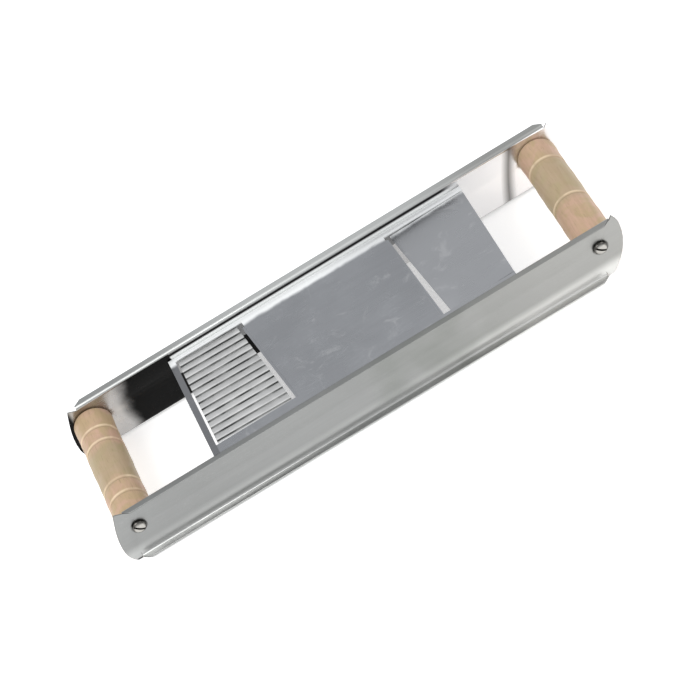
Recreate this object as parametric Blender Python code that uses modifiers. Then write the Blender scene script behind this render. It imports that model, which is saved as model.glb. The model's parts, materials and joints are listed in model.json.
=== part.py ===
"""Two-handled steel vegetable slicer, with a feed ramp and a blade at each end of a fixed deck.

X runs along the slicer, Y across it and Z up. The origin is on the ground, under the middle.
The plain ramp is on the +X side and the ribbed ramp on the -X side. "Near" is the -Y side.
All sizes are in metres.
"""
import math

import bmesh
import bpy
from mathutils import Matrix, Vector

# Side rails: one sheet each, with both long edges folded outwards.
SHEET = 0.001
RAIL_HEIGHT = 0.0445
WEB_OUTER_Y = 0.056
TOP_FOLD_WIDTH = 0.0052
TOP_FOLD_ENDS = (-0.1775, 0.1865)
BOTTOM_FOLD_WIDTH = 0.0055
BOTTOM_FOLD_ENDS = (-0.1830, 0.1695)
BOTTOM_FOLD_RISE = 0.0012
FOLD_RADIUS = 0.0021
FOLD_STEPS = 6
END_BULGE_X = 0.1915
END_SHAPES = {-1: {"top": 0.1835, "bulge": 0.0115, "foot": 0.1865, "taper": 1.35},
              1: {"top": 0.1890, "bulge": 0.0360, "foot": 0.1735, "taper": 1.70}}
END_SHOULDER_OUT = 0.0010
END_SHOULDER_DROP = 0.0022
FOLD_CORNER = 0.005
FOOT_GAP = 0.0005
RAIL_HOLE_DEPTH = 0.010

# Wooden handles and the screws that hold them.
HANDLE_X = 0.1735
HANDLE_Z = 0.0258
HANDLE_RADIUS = 0.0134
HANDLE_SWELL = 0.0006
GROOVE_DEPTH = 0.0013
GROOVE_HALF_WIDTH = 0.0011
HANDLE_BORE_DEPTH = 0.024
HANDLE_EDGE_RADIUS = 0.0016
SCREW_SHANK_RADIUS = 0.0020
SCREW_LENGTH = 0.021
SCREW_HEAD_RADIUS = 0.0048
SCREW_HEAD_HEIGHT = 0.0030
SLOT_WIDTH = 0.0013
SLOT_DEPTH = 0.0014
SCREW_POINT = 0.004

# Deck: one sheet with its sides folded down inside the rails.
DECK_MIDDLE_X = 0.005
DECK_HALF_LENGTH = 0.1135
DECK_TOP_Z = 0.0385
DECK_SIDE_DROP = 0.0145
DECK_FOLD_RADIUS = 0.0013
END_BAR_WIDTH = 0.0044
CUT_OFFSETS = {-1: 0.0551, 1: 0.0593}
CUT_SLANTS = {-1: math.radians(6.6), 1: math.radians(3.7)}
OPENING_SLACK = 0.0006

# Feed ramps: they tilt on a rod near their outer ends.
RAMP_DROP = 0.0012
PIVOT_INSET = 0.0055
PIVOT_Z = 0.0320
ROD_RADIUS = 0.0015
EAR_RADIUS = 0.0045
EAR_INSET = 0.0003
LIP_DROP = 0.003
LIP_INSET = 0.004
RIBBED_END_GAP = 0.0014
STUD_REACH = 0.030
CUT_GAPS = {-1: 0.0028, 1: 0.0037}
PLAIN_EXTRA_SLANT = math.radians(1.9)
RIB_PITCH = 0.0068
RIB_GROOVE = 0.0014
RIB_HEIGHT = 0.0010
RIB_SOFTENING = 0.0005
RIBBED_EDGES = (-0.0414, 0.0494)
PLAIN_EDGES = (-0.0466, 0.0478)
FIRST_GROOVE_Y = 0.0430
RIB_COUNT = 14

# Blades: ground strips welded under the deck's two cut ends.
BLADE_THICKNESS = 0.0009
BLADE_WIDTH = 0.015
BLADE_REACH = 0.0018
BLADE_HALF_LENGTH = 0.046
BLADE_BEVEL = 0.0024
BLADE_EDGE = 0.00015

# Adjusters: a stud under each ramp, a bridge, a spring and a wing nut.
BRIDGE_Z = 0.0260
BRIDGE_THICKNESS = 0.0015
BRIDGE_HALF_WIDTH = 0.007
BRIDGE_TAB_TOP_Z = 0.0355
BRIDGE_CORNER = 0.002
BRIDGE_HOLE_RADIUS = 0.0032
STUD_RADIUS = 0.0020
STUD_HEAD_RADIUS = 0.0055
STUD_HEAD_HEIGHT = 0.0008
STUD_WELD_GAP = 0.0004
STUD_CHAMFER = 0.0006
STUD_END_Z = 0.0155
SPRING_RADIUS = 0.0046
SPRING_WIRE = 0.00045
SPRING_TURNS = 5
NUT_HEIGHT = 0.0062
NUT_RADIUS = 0.0048
NUT_BORE = 0.0028
WING_SPAN = 0.0135
WING_THICKNESS = 0.0022
WING_TIP_RADIUS = 0.0036
WING_DROP = 0.0012
NUT_FLARE = 0.0004
NUT_REST_TURN = math.radians(35.0)

GAP = 0.0003
CUTTER_MARGIN = 0.002

MATERIALS = {
    "rail_steel": ((0.50, 0.50, 0.48), 0.38, 1.0),
    "deck_steel": ((0.40, 0.42, 0.44), 0.34, 1.0),
    "ribbed_steel": ((0.58, 0.58, 0.57), 0.36, 1.0),
    "blade_steel": ((0.46, 0.47, 0.49), 0.25, 1.0),
    "screw_steel": ((0.62, 0.60, 0.56), 0.30, 1.0),
    "wire_steel": ((0.55, 0.55, 0.55), 0.30, 1.0),
    "handle_wood": ((0.56, 0.41, 0.25), 0.62, 0.0),
}


def clear_scene():
    """Remove every object that the file opened with."""
    for item in list(bpy.data.objects):
        bpy.data.objects.remove(item, do_unlink=True)


def make_collections():
    """Return the collection for the parts and the one for the cutters."""
    parts = bpy.data.collections.new("vegetable_slicer")
    cutters = bpy.data.collections.new("cutters")
    bpy.context.scene.collection.children.link(parts)
    bpy.context.scene.collection.children.link(cutters)
    return parts, cutters


def make_materials():
    """Return one Principled material for each finish."""
    finishes = {}
    for name, (colour, roughness, metallic) in MATERIALS.items():
        material = bpy.data.materials.new(name)
        material.use_nodes = True
        shader = material.node_tree.nodes["Principled BSDF"]
        shader.inputs["Base Color"].default_value = (*colour, 1.0)
        shader.inputs["Roughness"].default_value = roughness
        shader.inputs["Metallic"].default_value = metallic
        finishes[name] = material
    return finishes


clear_scene()
PARTS, CUTTERS = make_collections()
FINISHES = make_materials()


def finish_part(item, finish):
    """Put an object among the parts and give it its material."""
    PARTS.objects.link(item)
    item.data.materials.clear()
    item.data.materials.append(FINISHES[finish])
    return item


def finish_cutter(item):
    """Put an object among the cutters, drawn as a wire and left out of the model."""
    CUTTERS.objects.link(item)
    item.hide_render = True
    item.display_type = "WIRE"
    return item


def from_bmesh(name, shape):
    """Return an object that holds a bmesh, with its normals facing out."""
    bmesh.ops.recalc_face_normals(shape, faces=shape.faces[:])
    mesh = bpy.data.meshes.new(name)
    shape.to_mesh(mesh)
    shape.free()
    return bpy.data.objects.new(name, mesh)


def box(name, low, high):
    """Return a box between two opposite corners."""
    low, high = Vector(low), Vector(high)
    shape = bmesh.new()
    place = Matrix.LocRotScale((low + high) / 2, None, high - low)
    bmesh.ops.create_cube(shape, size=1.0, matrix=place)
    return from_bmesh(name, shape)


def cylinder(name, radius, centre, length, axis="Z", sides=24):
    """Return a capped cylinder about a point, along one axis."""
    turns = {"X": Matrix.Rotation(math.pi / 2, 4, "Y"), "Y": Matrix.Rotation(math.pi / 2, 4, "X"),
             "Z": Matrix.Identity(4)}
    shape = bmesh.new()
    bmesh.ops.create_cone(shape, cap_ends=True, segments=sides, radius1=radius, radius2=radius,
                          depth=length, matrix=Matrix.Translation(centre) @ turns[axis])
    return from_bmesh(name, shape)


def outline_solid(name, points, low, high, plane="XY"):
    """Return a flat outline given a thickness, as a welded mesh.

    The outline is drawn in the named plane, and low and high are its two faces along the third axis.
    """
    curve = bpy.data.curves.new(name, "CURVE")
    curve.dimensions = "2D"
    curve.fill_mode = "BOTH"
    curve.extrude = (high - low) / 2
    spline = curve.splines.new("POLY")
    spline.points.add(len(points) - 1)
    for spot, (u, v) in zip(spline.points, points):
        spot.co = (u, v, 0.0, 1.0)
    spline.use_cyclic_u = True
    drawing = bpy.data.objects.new(name + "_outline", curve)
    middle = (low + high) / 2
    if plane == "XY":
        drawing.matrix_world = Matrix.Translation((0, 0, middle))
    elif plane == "XZ":
        drawing.matrix_world = Matrix.Translation((0, middle, 0)) @ Matrix.Rotation(math.pi / 2, 4, "X")
    else:
        turn = Matrix.Rotation(math.pi / 2, 4, "Z") @ Matrix.Rotation(math.pi / 2, 4, "X")
        drawing.matrix_world = Matrix.Translation((middle, 0, 0)) @ turn
    return curve_to_mesh(name, drawing)


def curve_to_mesh(name, drawing):
    """Turn a curve object into a welded mesh object in the same place, and remove the curve."""
    bpy.context.scene.collection.objects.link(drawing)
    bpy.context.view_layer.update()
    solved = drawing.evaluated_get(bpy.context.evaluated_depsgraph_get())
    mesh = bpy.data.meshes.new_from_object(solved)
    place = drawing.matrix_world.copy()
    bpy.data.objects.remove(drawing, do_unlink=True)
    shape = bmesh.new()
    shape.from_mesh(mesh)
    bpy.data.meshes.remove(mesh)
    bmesh.ops.remove_doubles(shape, verts=shape.verts[:], dist=0.000001)
    shape.transform(place)
    return from_bmesh(name, shape)


def boolean(item, other, operation):
    """Cut, join or intersect an object with another, which becomes a cutter."""
    finish_cutter(other)
    step = item.modifiers.new(operation.lower() + "_" + other.name, "BOOLEAN")
    step.operation = operation
    step.solver = "EXACT"
    step.object = other


def cut(item, other):
    """Take another shape away from an object."""
    boolean(item, other, "DIFFERENCE")


def join(item, other):
    """Add another shape to an object."""
    boolean(item, other, "UNION")


def smooth(item, angle=35.0):
    """Shade a round piece smooth, with its hard edges kept sharp."""
    item.data.shade_smooth()
    item.data.set_sharp_from_angle(angle=math.radians(angle))


def arc(centre, radius, start, end, steps):
    """Return points along an arc, with its angles in degrees."""
    angles = [math.radians(start + (end - start) * i / steps) for i in range(steps + 1)]
    return [(centre[0] + radius * math.cos(a), centre[1] + radius * math.sin(a)) for a in angles]


def thicken(item, thickness):
    """Give an open sheet its thickness, half to each side."""
    wall = item.modifiers.new("sheet", "SOLIDIFY")
    wall.thickness = thickness
    wall.offset = 0.0
    wall.use_even_offset = True


def revolve(name, profile, finish, sides):
    """Turn a profile of (radius, height) points, top to bottom, about the Z axis."""
    shape = bmesh.new()
    corners = [shape.verts.new((radius, 0.0, height)) for radius, height in profile]
    for first, second in zip(corners, corners[1:]):
        shape.edges.new((first, second))
    mesh = bpy.data.meshes.new(name)
    shape.to_mesh(mesh)
    shape.free()
    item = bpy.data.objects.new(name, mesh)
    turn = item.modifiers.new("turned", "SCREW")
    turn.steps = sides
    turn.render_steps = sides
    turn.use_merge_vertices = True
    turn.merge_threshold = 0.00001
    turn.use_smooth_shade = True
    return finish_part(item, finish)


def web_end_outline(end):
    """Return the rounded end of a rail's web in X and Z, from its top edge down to its foot."""
    shape = END_SHAPES[end]
    top = (shape["top"], RAIL_HEIGHT)
    shoulder = (top[0] + END_SHOULDER_OUT, RAIL_HEIGHT - END_SHOULDER_DROP)
    bulge = (END_BULGE_X, shape["bulge"])
    points = [top, shoulder]
    for i in range(1, 6):
        t = i / 6
        sweep = math.sin(t * math.pi / 2)
        points.append((shoulder[0] + (bulge[0] - shoulder[0]) * sweep,
                       shoulder[1] + (bulge[1] - shoulder[1]) * t))
    steps = 9
    for i in range(steps + 1):
        a = math.pi / 2 * i / steps
        reach = (bulge[0] - shape["foot"]) * max(0.0, math.cos(a)) ** shape["taper"]
        points.append((shape["foot"] + reach, bulge[1] * (1 - math.sin(a))))
    return [(end * x, z) for x, z in points]


def rail_section():
    """Return the rail's sheet as (outward distance, height, left and right ends), top to bottom."""
    web = WEB_OUTER_Y - SHEET / 2
    top = RAIL_HEIGHT - SHEET / 2
    low = BOTTOM_FOLD_RISE + SHEET / 2
    top_left, top_right = TOP_FOLD_ENDS
    low_left, low_right = BOTTOM_FOLD_ENDS
    points = [(WEB_OUTER_Y + TOP_FOLD_WIDTH, top, (top_left + FOLD_CORNER, top_right - FOLD_CORNER))]
    for y, z in arc((web + FOLD_RADIUS, top - FOLD_RADIUS), FOLD_RADIUS, 90, 180, FOLD_STEPS):
        points.append((y, z, TOP_FOLD_ENDS))
    for y, z in arc((web + FOLD_RADIUS, low + FOLD_RADIUS), FOLD_RADIUS, 180, 270, FOLD_STEPS):
        points.append((y, z, BOTTOM_FOLD_ENDS))
    points.append((WEB_OUTER_Y + BOTTOM_FOLD_WIDTH, low, (low_left + FOLD_CORNER, low_right - FOLD_CORNER)))
    return points


def make_rail(name, side):
    """Make one side rail: a web with rounded ends, and both long edges folded outwards."""
    shape = bmesh.new()
    rows = []
    for out, height, ends in rail_section():
        rows.append([shape.verts.new((x, side * out, height)) for x in ends])
    for upper, lower in zip(rows, rows[1:]):
        shape.faces.new((upper[0], upper[1], lower[1], lower[0]))
    web_top, web_low = rows[FOLD_STEPS + 1], rows[FOLD_STEPS + 2]
    web_y = side * (WEB_OUTER_Y - SHEET / 2)
    for index, end in enumerate((-1, 1)):
        rim = [shape.verts.new((x, web_y, z)) for x, z in web_end_outline(end)]
        rim.append(shape.verts.new((BOTTOM_FOLD_ENDS[index] + end * FOOT_GAP, web_y, 0.0)))
        shape.faces.new([web_top[index]] + rim + [web_low[index]])
    rail = finish_part(from_bmesh(name, shape), "rail_steel")
    thicken(rail, SHEET)
    for end in (-1, 1):
        hole = cylinder(f"{name}_hole_{'left' if end < 0 else 'right'}", SCREW_SHANK_RADIUS + GAP,
                        (end * HANDLE_X, side * WEB_OUTER_Y, HANDLE_Z), RAIL_HOLE_DEPTH, "Y")
        cut(rail, hole)
    return rail


def handle_profile(grooves, half_length):
    """Return a turned handle's outline, with a swell between each pair of grooves."""
    bore = SCREW_SHANK_RADIUS + GAP
    inner_end = half_length - HANDLE_BORE_DEPTH
    rounding = HANDLE_EDGE_RADIUS
    points = [(0.0, inner_end), (bore, inner_end), (bore, half_length)]
    edge_radius, edge_end = HANDLE_RADIUS - rounding, half_length - rounding
    points += [(edge_radius + rounding * math.sin(a), edge_end + rounding * math.cos(a))
               for a in (0.0, math.pi / 6, math.pi / 3)]
    stops = [half_length - rounding] + list(grooves) + [-half_length + rounding]
    for index, (upper, lower) in enumerate(zip(stops, stops[1:])):
        start = upper - (GROOVE_HALF_WIDTH if index else 0.0)
        end = lower + (GROOVE_HALF_WIDTH if index < len(stops) - 2 else 0.0)
        for i in range(5):
            t = i / 4
            swell = HANDLE_SWELL * math.sin(math.pi * t)
            points.append((HANDLE_RADIUS - HANDLE_SWELL / 2 + swell, start + (end - start) * t))
        if index < len(stops) - 2:
            points.append((HANDLE_RADIUS - GROOVE_DEPTH, lower))
    points += [(edge_radius + rounding * math.sin(a), -edge_end - rounding * math.cos(a))
               for a in (math.pi / 3, math.pi / 6, 0.0)]
    points += [(bore, -half_length), (bore, -inner_end), (0.0, -inner_end)]
    return points


def make_handle(name, x, grooves):
    """Make one wooden handle, bored at both ends for its screws."""
    half = WEB_OUTER_Y - SHEET - GAP
    handle = revolve(name, handle_profile(grooves, half), "handle_wood", 24)
    handle.location = (x, 0.0, HANDLE_Z)
    handle.rotation_euler = (-math.pi / 2, 0.0, 0.0)
    return handle


def screw_profile():
    """Return a round-head screw's outline, head up, with the head's underside at zero."""
    points = [(0.0, SCREW_HEAD_HEIGHT)]
    for i in range(1, 7):
        a = math.pi / 2 * i / 6
        points.append((SCREW_HEAD_RADIUS * math.sin(a), SCREW_HEAD_HEIGHT * (0.12 + 0.88 * math.cos(a))))
    points += [(SCREW_HEAD_RADIUS, 0.0), (SCREW_SHANK_RADIUS, 0.0),
               (SCREW_SHANK_RADIUS, -SCREW_LENGTH + SCREW_POINT), (0.0, -SCREW_LENGTH)]
    return points


def make_screw(name, x, side, slot_angle):
    """Make one slotted screw through a rail into a handle's end."""
    screw = revolve(name, screw_profile(), "screw_steel", 20)
    screw.location = (x, side * (WEB_OUTER_Y + GAP), HANDLE_Z)
    screw.rotation_euler = (-side * math.pi / 2, 0.0, 0.0)
    reach = SCREW_HEAD_RADIUS + CUTTER_MARGIN
    slot = box(name + "_slot", (-reach, -SLOT_WIDTH / 2, SCREW_HEAD_HEIGHT - SLOT_DEPTH),
               (reach, SLOT_WIDTH / 2, SCREW_HEAD_HEIGHT + CUTTER_MARGIN))
    slot.parent = screw
    slot.rotation_euler = (0.0, 0.0, math.radians(slot_angle))
    cut(screw, slot)
    return screw


def cut_x(side, y, offset=0.0, extra=0.0):
    """Return where a cut edge lies in X at a given Y. Both cuts slant the same way."""
    return DECK_MIDDLE_X + side * (CUT_OFFSETS[side] + offset) - y * math.tan(CUT_SLANTS[side] + extra)


def ramp_end_x(side):
    """Return a ramp's outer end. The ribbed ramp stops short of the deck's end bar."""
    end = DECK_MIDDLE_X + side * DECK_HALF_LENGTH
    if side > 0:
        return end
    return end + END_BAR_WIDTH + RIBBED_END_GAP


def pivot_x(side):
    """Return the X of a ramp's rod."""
    return ramp_end_x(side) - side * PIVOT_INSET


def stud_x(side):
    """Return the X of a ramp's stud."""
    return pivot_x(side) - side * STUD_REACH


def deck_section():
    """Return the deck sheet's middle line in Y and Z, from one folded side to the other."""
    half = WEB_OUTER_Y - SHEET - GAP - SHEET / 2
    top = DECK_TOP_Z - SHEET / 2
    radius = DECK_FOLD_RADIUS
    right = arc((half - radius, top - radius), radius, 0, 90, 4)
    left = [(-y, z) for y, z in reversed(right)]
    return [(half, DECK_TOP_Z - DECK_SIDE_DROP)] + right + left + [(-half, DECK_TOP_Z - DECK_SIDE_DROP)]


def make_deck():
    """Make the fixed deck, open where the two ramps lie."""
    shape = bmesh.new()
    ends = (DECK_MIDDLE_X - DECK_HALF_LENGTH, DECK_MIDDLE_X + DECK_HALF_LENGTH)
    rows = [[shape.verts.new((x, y, z)) for x in ends] for y, z in deck_section()]
    for first, second in zip(rows, rows[1:]):
        shape.faces.new((first[0], first[1], second[1], second[0]))
    deck = finish_part(from_bmesh("deck", shape), "deck_steel")
    thicken(deck, SHEET)
    low, high = DECK_TOP_Z - 2 * CUTTER_MARGIN, DECK_TOP_Z + 2 * CUTTER_MARGIN
    for side, (near, far), word in ((1, PLAIN_EDGES, "plain"), (-1, RIBBED_EDGES, "ribbed")):
        near, far = near - OPENING_SLACK, far + OPENING_SLACK
        outer = ends[1] + CUTTER_MARGIN if side > 0 else ends[0] + END_BAR_WIDTH
        deck_edge = -CUT_GAPS[side] / 2 - BLADE_REACH
        corners = [(outer, near), (outer, far), (cut_x(side, far, deck_edge), far),
                   (cut_x(side, near, deck_edge), near)]
        cut(deck, outline_solid(f"deck_opening_{word}", corners, low, high))
    for side, word in ((1, "plain"), (-1, "ribbed")):
        home = (pivot_x(side), 0.0, PIVOT_Z)
        cut(deck, cylinder(f"deck_rod_hole_{word}", ROD_RADIUS + GAP, home, 2 * WEB_OUTER_Y, "Y"))
    return deck


def make_blade(name, side):
    """Make a ground blade under the deck's cut end, with its edge facing the ramp."""
    top = DECK_TOP_Z - SHEET - GAP
    section = [(0.0, top - BLADE_EDGE), (0.0, top - 2 * BLADE_EDGE), (-BLADE_BEVEL, top - BLADE_THICKNESS),
               (-BLADE_WIDTH, top - BLADE_THICKNESS), (-BLADE_WIDTH, top), (-BLADE_BEVEL, top)]
    section = [(side * x, z) for x, z in section]
    blade = outline_solid(name, section, -BLADE_HALF_LENGTH, BLADE_HALF_LENGTH, "XZ")
    blade.location = (cut_x(side, 0.0, -CUT_GAPS[side] / 2), 0.0, 0.0)
    blade.rotation_euler = (0.0, 0.0, CUT_SLANTS[side])
    return finish_part(blade, "blade_steel")


def ear_outline(plate_z):
    """Return the hinge ear's outline in X and Z about the rod, up to the plate."""
    return [(EAR_RADIUS, plate_z), (-EAR_RADIUS, plate_z)] + arc((0.0, 0.0), EAR_RADIUS, 180, 360, 8)


def ramp_plan(side, edges):
    """Return a ramp's outline in X and Y about its rod, with its inner end along the cut."""
    near, far = edges
    home = pivot_x(side)
    extra = PLAIN_EXTRA_SLANT if side > 0 else 0.0
    inner = CUT_GAPS[side] / 2
    outer = ramp_end_x(side) - home
    return [(outer, near), (outer, far), (cut_x(side, far, inner, extra) - home, far),
            (cut_x(side, near, inner, extra) - home, near)]


def ribbed_section(edges, plate_low, plate_top):
    """Return the ribbed plate's cross-section in Y and Z, with low rounded ribs on its upper face."""
    near, far = edges
    crest = plate_top + RIB_HEIGHT
    shoulder = crest - RIB_SOFTENING
    points = [(near, plate_low), (far, plate_low), (far, shoulder)]
    upper = far
    for index in range(RIB_COUNT):
        lower = max(FIRST_GROOVE_Y - index * RIB_PITCH + RIB_GROOVE / 2, near)
        points += [(upper - RIB_SOFTENING, crest), (lower + RIB_SOFTENING, crest), (lower, shoulder)]
        if index == RIB_COUNT - 1:
            break
        upper = lower - RIB_GROOVE
        points += [(lower, plate_top), (upper, plate_top), (upper, shoulder)]
    return points


def make_ramp(name, side, edges, finish, ribbed):
    """Make one feed ramp about its rod: a plate with two hinge ears and a turned-down outer lip."""
    home = pivot_x(side)
    top = DECK_TOP_Z - GAP - PIVOT_Z
    low = top - SHEET
    plan = ramp_plan(side, edges)
    if ribbed:
        low = top - SHEET - RIB_HEIGHT
        reach = sorted((plan[0][0], plan[3][0] - side * 2 * CUTTER_MARGIN))
        section = ribbed_section(edges, low, top - RIB_HEIGHT)
        ramp = outline_solid(name, section, reach[0], reach[1], "YZ")
        beyond = plan[3][0] - side * 10 * CUTTER_MARGIN
        waste = [(plan[2][0], edges[1] + GAP), (plan[3][0], edges[0] - GAP),
                 (beyond, edges[0] - GAP), (beyond, edges[1] + GAP)]
        cut(ramp, child_of(outline_solid(name + "_slant", waste, low - GAP, top + GAP), ramp))
    else:
        ramp = outline_solid(name, plan, low, top)
    for edge, word in ((edges[0] + EAR_INSET, "near"), (edges[1] - EAR_INSET - SHEET, "far")):
        ear = outline_solid(f"{name}_ear_{word}", ear_outline(low + SHEET / 2), edge, edge + SHEET, "XZ")
        join(ramp, child_of(ear, ramp))
    lip_x = plan[0][0] - side * EAR_INSET
    lip = sorted((lip_x, lip_x - side * SHEET))
    join(ramp, child_of(box(name + "_lip", (lip[0], edges[0] + LIP_INSET, low - LIP_DROP),
                            (lip[1], edges[1] - LIP_INSET, low + SHEET / 2)), ramp))
    bore = cylinder(name + "_bore", ROD_RADIUS + GAP, (0, 0, 0), 2 * WEB_OUTER_Y, "Y")
    cut(ramp, child_of(bore, ramp))
    ramp.location = (home, 0.0, PIVOT_Z)
    span = abs(home - cut_x(side, 0.0))
    ramp.rotation_euler = (0.0, -side * math.atan(RAMP_DROP / span), 0.0)
    return finish_part(ramp, finish)


def child_of(item, parent):
    """Hang a shape on another object, so that it turns with it."""
    item.parent = parent
    return item


def make_rod(name, side):
    """Make the rod that a ramp tilts on, held in the deck's folded sides."""
    length = 2 * (WEB_OUTER_Y - SHEET - 2 * GAP)
    rod = cylinder(name, ROD_RADIUS, (0.0, 0.0, 0.0), length, "Y", 16)
    rod.location = (pivot_x(side), 0.0, PIVOT_Z)
    smooth(rod)
    return finish_part(rod, "wire_steel")


def make_bridge(name, side):
    """Make the strap across the slicer under a ramp, turned up at both ends."""
    half = WEB_OUTER_Y - 2 * SHEET - 2 * GAP - BRIDGE_THICKNESS / 2
    middle = BRIDGE_Z + BRIDGE_THICKNESS / 2
    corner = arc((half - BRIDGE_CORNER, middle + BRIDGE_CORNER), BRIDGE_CORNER, 360, 270, 4)
    path = [(half, BRIDGE_TAB_TOP_Z)] + corner
    path += [(-y, z) for y, z in reversed(path)]
    shape = bmesh.new()
    rows = [[shape.verts.new((x, y, z)) for x in (-BRIDGE_HALF_WIDTH, BRIDGE_HALF_WIDTH)] for y, z in path]
    for first, second in zip(rows, rows[1:]):
        shape.faces.new((first[0], first[1], second[1], second[0]))
    bridge = finish_part(from_bmesh(name, shape), "deck_steel")
    bridge.location = (stud_x(side), 0.0, 0.0)
    thicken(bridge, BRIDGE_THICKNESS)
    hole = cylinder(name + "_hole", BRIDGE_HOLE_RADIUS, (0.0, 0.0, middle), 2 * BRIDGE_THICKNESS)
    cut(bridge, child_of(hole, bridge))
    return bridge


def make_stud(name, side, under):
    """Make the stud that is welded to a ramp's underside and drawn down by the wing nut."""
    head = under - STUD_WELD_GAP
    neck = head - STUD_HEAD_HEIGHT
    profile = [(0.0, head), (STUD_HEAD_RADIUS, head), (STUD_HEAD_RADIUS, neck), (STUD_RADIUS, neck),
               (STUD_RADIUS, STUD_END_Z + STUD_CHAMFER), (STUD_RADIUS - STUD_CHAMFER, STUD_END_Z),
               (0.0, STUD_END_Z)]
    stud = revolve(name, [(r, z - PIVOT_Z) for r, z in profile], "wire_steel", 20)
    stud.location = (stud_x(side), 0.0, PIVOT_Z)
    return stud


def make_spring(name, side, top):
    """Make the compression spring that pushes a ramp up from its bridge."""
    low = BRIDGE_Z + BRIDGE_THICKNESS + GAP + SPRING_WIRE
    high = top - GAP - SPRING_WIRE
    steps = 10 * SPRING_TURNS
    curve = bpy.data.curves.new(name, "CURVE")
    curve.dimensions = "3D"
    curve.bevel_depth = SPRING_WIRE
    curve.bevel_resolution = 2
    curve.use_fill_caps = True
    spline = curve.splines.new("POLY")
    spline.points.add(steps)
    for i, spot in enumerate(spline.points):
        a = 2 * math.pi * SPRING_TURNS * i / steps
        height = low + (high - low) * i / steps
        spot.co = (SPRING_RADIUS * math.cos(a), SPRING_RADIUS * math.sin(a), height, 1.0)
    spring = curve_to_mesh(name, bpy.data.objects.new(name + "_path", curve))
    spring.location = (stud_x(side), 0.0, 0.0)
    smooth(spring)
    return finish_part(spring, "wire_steel")


def make_wing_nut(name, side):
    """Make the wing nut under a bridge, which turns on the stud."""
    top = NUT_HEIGHT / 2
    profile = [(NUT_BORE, top), (NUT_RADIUS, top), (NUT_RADIUS + NUT_FLARE, -top + 2 * NUT_FLARE),
               (NUT_RADIUS - NUT_FLARE, -top), (NUT_BORE, -top), (NUT_BORE, top)]
    nut = revolve(name, profile, "screw_steel", 24)
    root = NUT_BORE + 2 * NUT_FLARE
    wing = [(root, top - WING_DROP), (root, -top + 2 * NUT_FLARE), (WING_SPAN / 2, -top - WING_DROP)]
    wing += arc((WING_SPAN - WING_TIP_RADIUS, -top - WING_DROP / 2), WING_TIP_RADIUS, -80, 80, 6)
    for turn, word in ((1, "right"), (-1, "left")):
        points = [(turn * x, z) for x, z in wing]
        blade = outline_solid(f"{name}_wing_{word}", points, -WING_THICKNESS / 2, WING_THICKNESS / 2, "XZ")
        join(nut, child_of(blade, nut))
    nut.location = (stud_x(side), 0.0, BRIDGE_Z - GAP - top)
    nut.rotation_euler = (0.0, 0.0, NUT_REST_TURN)
    return nut


def ramp_underside(side):
    """Return the height of a ramp's underside over its stud, at rest."""
    span = abs(pivot_x(side) - cut_x(side, 0.0))
    thickness = SHEET if side > 0 else SHEET + RIB_HEIGHT
    return DECK_TOP_Z - GAP - RAMP_DROP * STUD_REACH / span - thickness


def build():
    """Make every part of the slicer."""
    make_rail("rail_near", -1)
    make_rail("rail_far", 1)
    make_handle("handle_left", -HANDLE_X, (0.034, 0.020, -0.021, -0.035))
    make_handle("handle_right", HANDLE_X, (0.032, -0.011))
    for x, end in ((-HANDLE_X, "left"), (HANDLE_X, "right")):
        make_screw(f"screw_near_{end}", x, -1, -40.0)
        make_screw(f"screw_far_{end}", x, 1, 25.0)
    make_deck()
    for side, word, edges, finish in ((1, "plain", PLAIN_EDGES, "deck_steel"),
                                      (-1, "ribbed", RIBBED_EDGES, "ribbed_steel")):
        make_blade(f"blade_{word}", side)
        make_ramp(f"ramp_{word}", side, edges, finish, side < 0)
        make_rod(f"pivot_rod_{word}", side)
        make_bridge(f"bridge_{word}", side)
        under = ramp_underside(side)
        make_stud(f"stud_{word}", side, under)
        make_spring(f"spring_{word}", side, under - STUD_WELD_GAP - STUD_HEAD_HEIGHT)
        make_wing_nut(f"wing_nut_{word}", side)


build()
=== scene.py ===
"""Finer pieces, finishes and a studio for a two-handled vegetable slicer, laid out as an add-on.

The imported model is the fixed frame. Every new piece stands for one CAD node, rides on that node's
body and keeps its place and size. X runs along the slicer, Y across it and Z up, in metres.
"""
import json
import math

import bmesh
import bpy
from bpy.props import FloatProperty, FloatVectorProperty, IntProperty, PointerProperty
from mathutils import Matrix, Vector

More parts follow.
